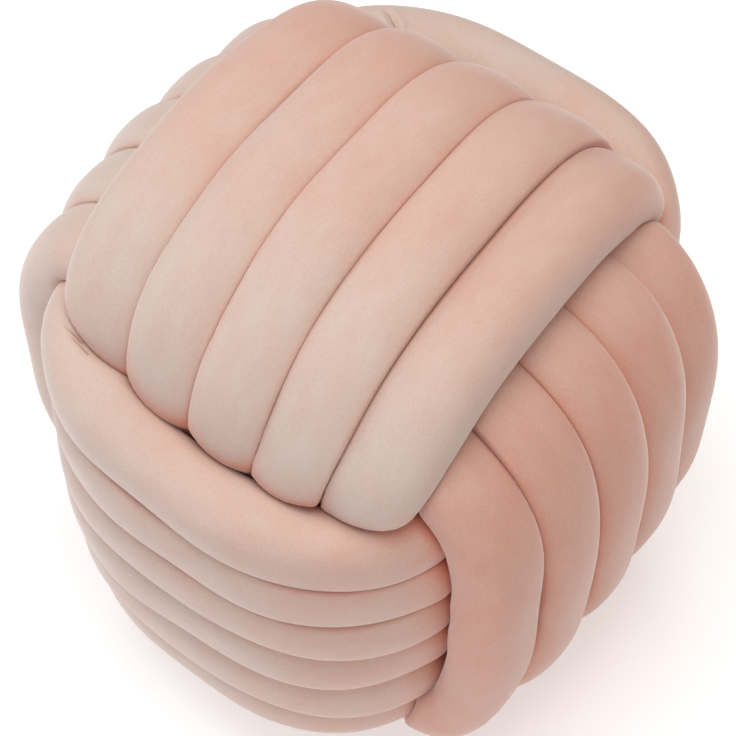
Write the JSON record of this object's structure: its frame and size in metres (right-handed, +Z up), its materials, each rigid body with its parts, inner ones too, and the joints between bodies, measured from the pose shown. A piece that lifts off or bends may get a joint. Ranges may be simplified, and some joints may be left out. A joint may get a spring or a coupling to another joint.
{
  "type": "knotted pouf",
  "caption": "Round floor pouf tied as a ball knot from a long stuffed velvet tube, with rows of parallel strands on every side and a flattened underside to rest on.",
  "frame": {"origin": "on the floor, under the middle of the knot", "axes": "+Z up, -Y towards the side that shows level strands under the ends of the top row, +X towards the side that shows upright strands"},
  "size_m": [0.4428, 0.4468, 0.4664],
  "materials": {
    "velvet": "short-pile velvet in blush pink, matt with a pale sheen where the pile turns away"
  },
  "bodies": {
    "root": {"knotted_tube": "velvet"}
  },
  "joints": []
}
